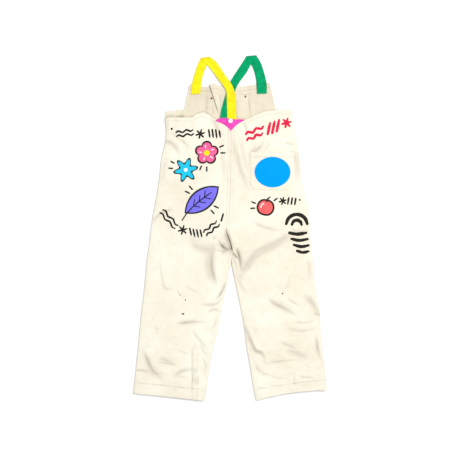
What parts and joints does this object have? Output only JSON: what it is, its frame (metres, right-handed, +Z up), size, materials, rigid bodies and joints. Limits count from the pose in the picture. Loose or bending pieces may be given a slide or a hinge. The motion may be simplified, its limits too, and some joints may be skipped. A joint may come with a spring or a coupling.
{
  "type": "bib overalls laid flat",
  "caption": "Wide-legged cream canvas bib overalls laid out flat, back up, with folded webbing shoulder straps, a curved yoke patch and a patch pocket.",
  "frame": {"origin": "centre of the garment's outline, on the surface it lies on", "axes": "+Y from the hems towards the shoulder straps, +X to the right as seen from above, +Z up from the surface"},
  "size_m": [0.774, 1.3839, 0.0184],
  "materials": {
    "canvas": "unbleached cotton canvas, washed and creased, matte",
    "bib_canvas": "inner face of the cotton canvas, matte",
    "yellow_webbing": "woven cotton webbing, bright yellow, matte",
    "green_webbing": "woven cotton webbing, green, matte",
    "pink_patch": "pink cotton twill patch, matte",
    "button_white": "white ring button with a dark centre, semi-gloss",
    "stud_red": "dark red enamelled stud cap"
  },
  "bodies": {
    "root": {"front_left": "canvas", "front_right": "canvas", "bib": "bib_canvas", "back_left": "canvas", "back_right": "canvas", "back_pocket": "canvas", "strap_green": "green_webbing", "strap_yellow": "yellow_webbing", "yoke_patch": "pink_patch", "yoke_button": "button_white", "bib_stud_left": "stud_red", "bib_stud_right": "stud_red"}
  },
  "joints": []
}
